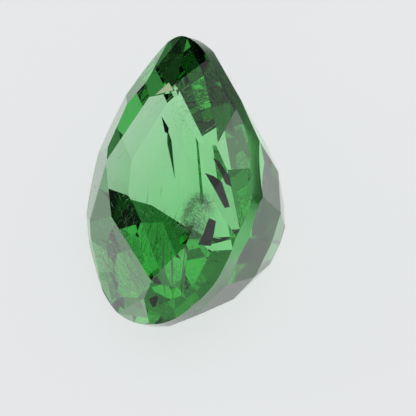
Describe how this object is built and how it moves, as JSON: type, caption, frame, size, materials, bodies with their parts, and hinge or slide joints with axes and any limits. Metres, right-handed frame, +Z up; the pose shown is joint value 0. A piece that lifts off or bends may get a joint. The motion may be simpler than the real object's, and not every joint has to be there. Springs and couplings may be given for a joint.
{
  "type": "faceted tsavorite garnet",
  "caption": "Green tsavorite garnet cut as an egg-shaped oval, with a low faceted crown over a stepped pavilion, lying on one wide pavilion facet.",
  "frame": {"origin": "middle of the box around the stone, on the surface that it lies on", "axes": "+Z up, +Y from the blunt foot of the outline toward its narrow tip, and the table leans over to -X"},
  "size_m": [0.006, 0.0086, 0.0062],
  "materials": {
    "tsavorite": "polished facets with fine scratches and a few pits, a smooth rounded girdle, see-through green"
  },
  "bodies": {
    "root": {"tsavorite": "tsavorite"}
  },
  "joints": []
}
